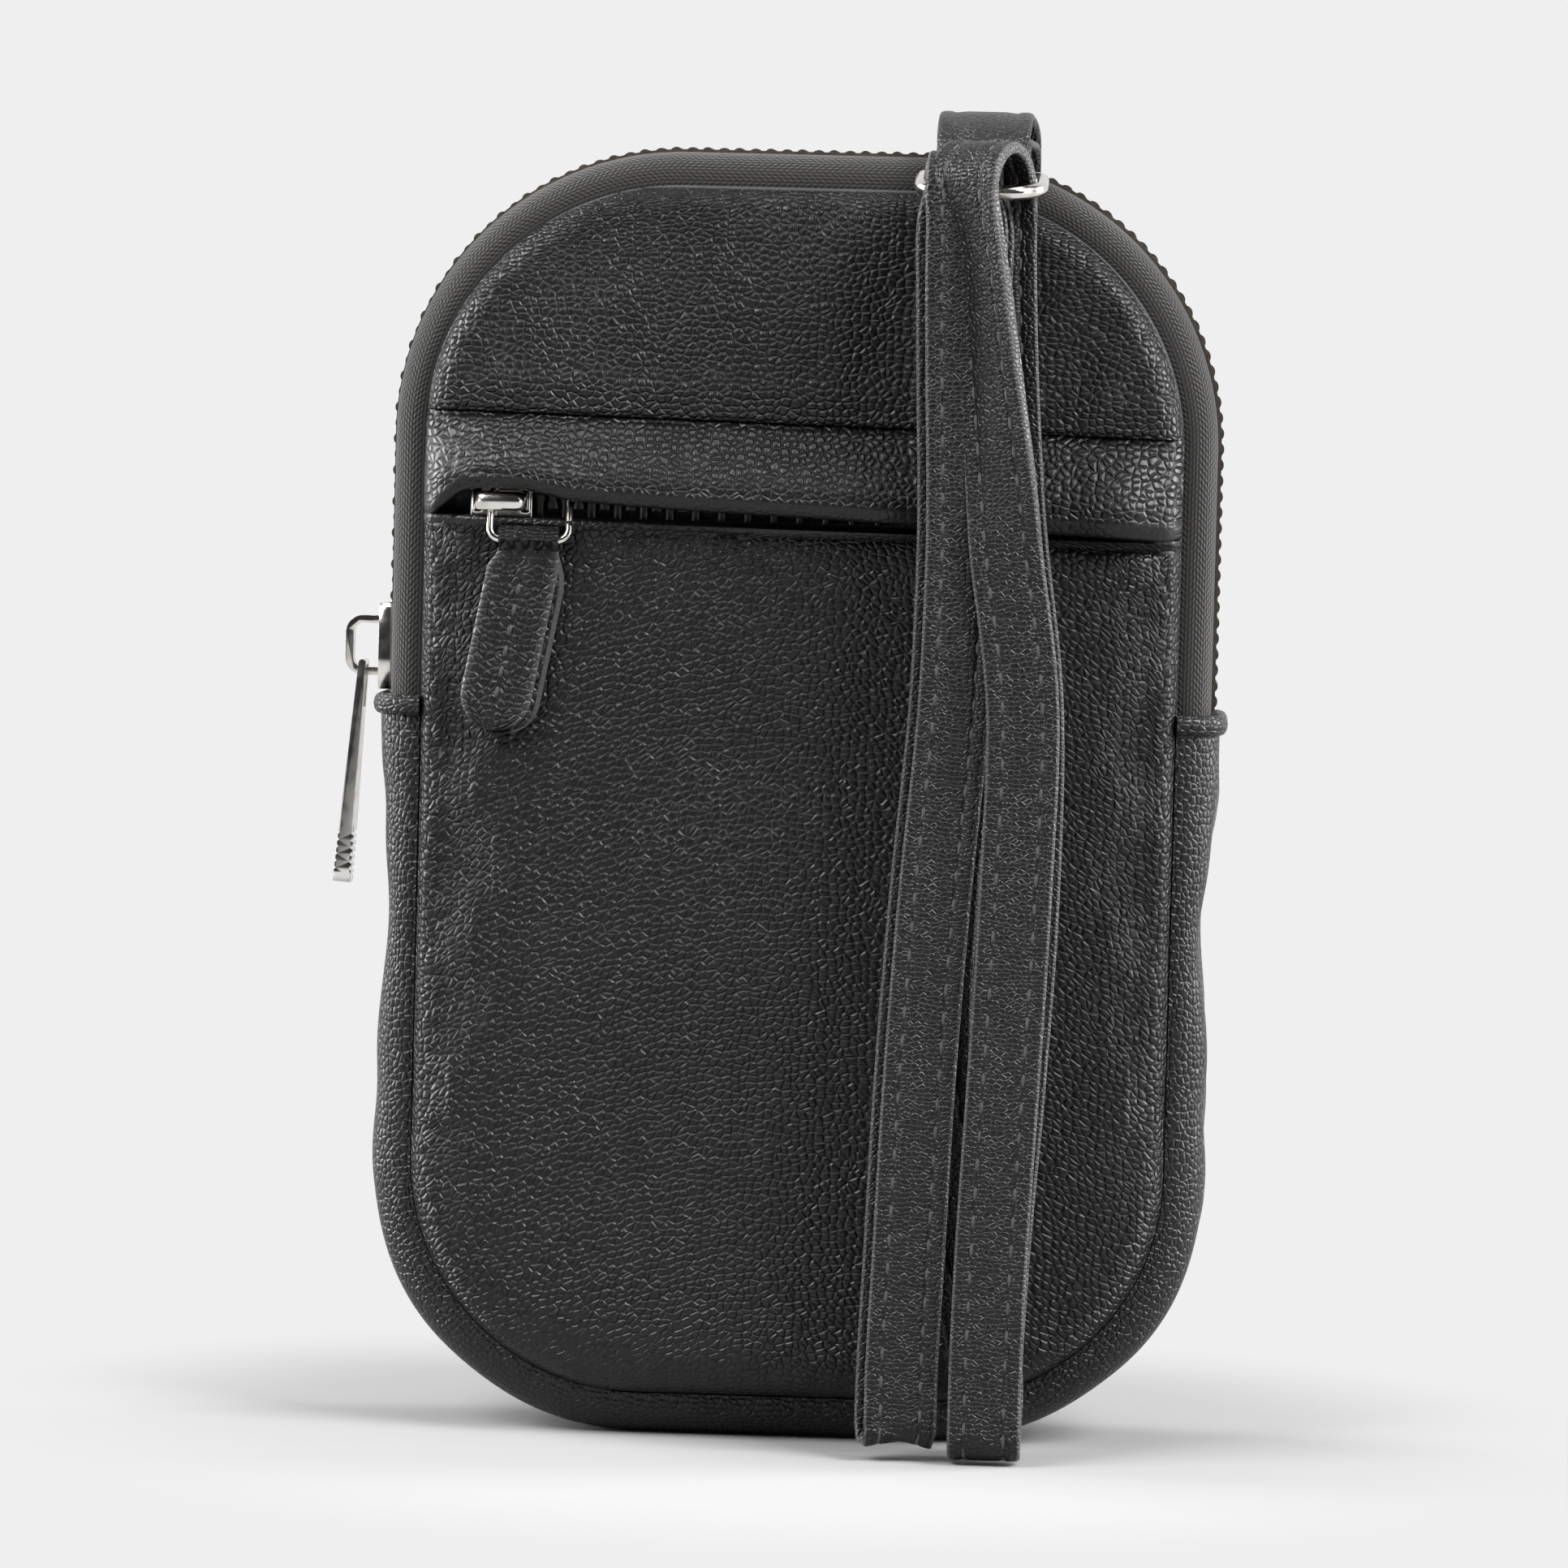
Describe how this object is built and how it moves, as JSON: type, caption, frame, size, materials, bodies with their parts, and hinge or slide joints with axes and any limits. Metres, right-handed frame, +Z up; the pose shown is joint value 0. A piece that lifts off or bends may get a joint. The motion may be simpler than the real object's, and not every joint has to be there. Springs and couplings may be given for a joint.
{
  "type": "phone pouch",
  "caption": "Small upright crossbody phone pouch in soft leather with a wrap-round zip, zipped front pocket under a flap, ring tab and gathered flat strap.",
  "frame": {"origin": "middle of the flat bottom, on the surface it stands on", "axes": "+X to the right of the front, +Y towards the back, +Z up"},
  "size_m": [0.1251, 0.0525, 0.1854],
  "materials": {
    "pebbled_leather": "pebbled, satin",
    "strap_leather": "fine grain, satin",
    "lining_cloth": "plain weave",
    "foam": "foam",
    "zip_tape": "herringbone weave",
    "zip_coil": "satin nylon",
    "nickel": "polished nickel"
  },
  "bodies": {
    "bag": {"front_upper_panel": "pebbled_leather", "pocket_flap": "pebbled_leather", "pocket_panel": "pebbled_leather", "back_panel": "pebbled_leather", "bottom_gusset": "pebbled_leather", "gusset_end_left": "pebbled_leather", "gusset_end_right": "pebbled_leather", "seam_binding_front": "lining_cloth", "seam_binding_back": "lining_cloth", "foam_front": "foam", "foam_back": "foam", "lining_front": "lining_cloth", "lining_back": "lining_cloth", "lining_gusset": "lining_cloth", "pocket_lining": "lining_cloth", "zip_tape_front": "zip_tape", "zip_tape_back": "zip_tape", "zip_coil_front": "zip_coil", "zip_coil_back": "zip_coil", "pocket_tape_upper": "zip_tape", "pocket_tape_lower": "zip_tape", "pocket_coil_upper": "zip_coil", "pocket_coil_lower": "zip_coil", "ring_tab": "pebbled_leather"},
    "main_slider_body": {"main_slider": "nickel"},
    "main_pull": {"main_pull_bar": "nickel"},
    "pocket_slider_body": {"pocket_slider": "nickel"},
    "pocket_link": {"pocket_pull_link": "nickel"},
    "pocket_pull": {"pocket_pull_leather": "pebbled_leather"},
    "ring": {"d_ring": "nickel"},
    "hanging_strap": {"strap": "strap_leather"}
  },
  "joints": [
    {"name": "main_slider_travel", "type": "slide", "parent": "bag", "child": "main_slider_body", "axis": [0, 0, 1], "range_m": [0, 0.0236], "deforming": ["zip_coil_front", "zip_coil_back"]},
    {"name": "main_pull_swing", "type": "hinge", "parent": "main_slider_body", "child": "main_pull", "pos_m": [-0.06185, 0, 0.1063], "axis": [0, 1, 0], "range_deg": [-7, 142]},
    {"name": "pocket_slider_travel", "type": "slide", "parent": "bag", "child": "pocket_slider_body", "axis": [1, 0, 0], "range_m": [0, 0.082], "deforming": ["pocket_coil_upper", "pocket_coil_lower", "pocket_flap"]},
    {"name": "pocket_link_swing", "type": "hinge", "parent": "pocket_slider_body", "child": "pocket_link", "pos_m": [-0.0427, -0.01885, 0.1298], "axis": [0, -0.2419, -0.9703], "range_deg": [0, 85], "deforming": ["pocket_flap"]},
    {"name": "pocket_pull_swing", "type": "hinge", "parent": "pocket_link", "child": "pocket_pull", "pos_m": [-0.03725, -0.02016, 0.12456], "axis": [-1, 0, 0], "range_deg": [0, 110], "deforming": ["pocket_flap"]},
    {"name": "d_ring_swing", "type": "hinge", "parent": "bag", "child": "ring", "pos_m": [0.0238, -0.01566, 0.17584], "axis": [-1, 0, 0], "range_deg": [0, 70]},
    {"name": "strap_swing", "type": "hinge", "parent": "ring", "child": "hanging_strap", "pos_m": [0.0238, -0.02612, 0.17361], "axis": [-1, 0, 0], "range_deg": [0, 60]}
  ]
}
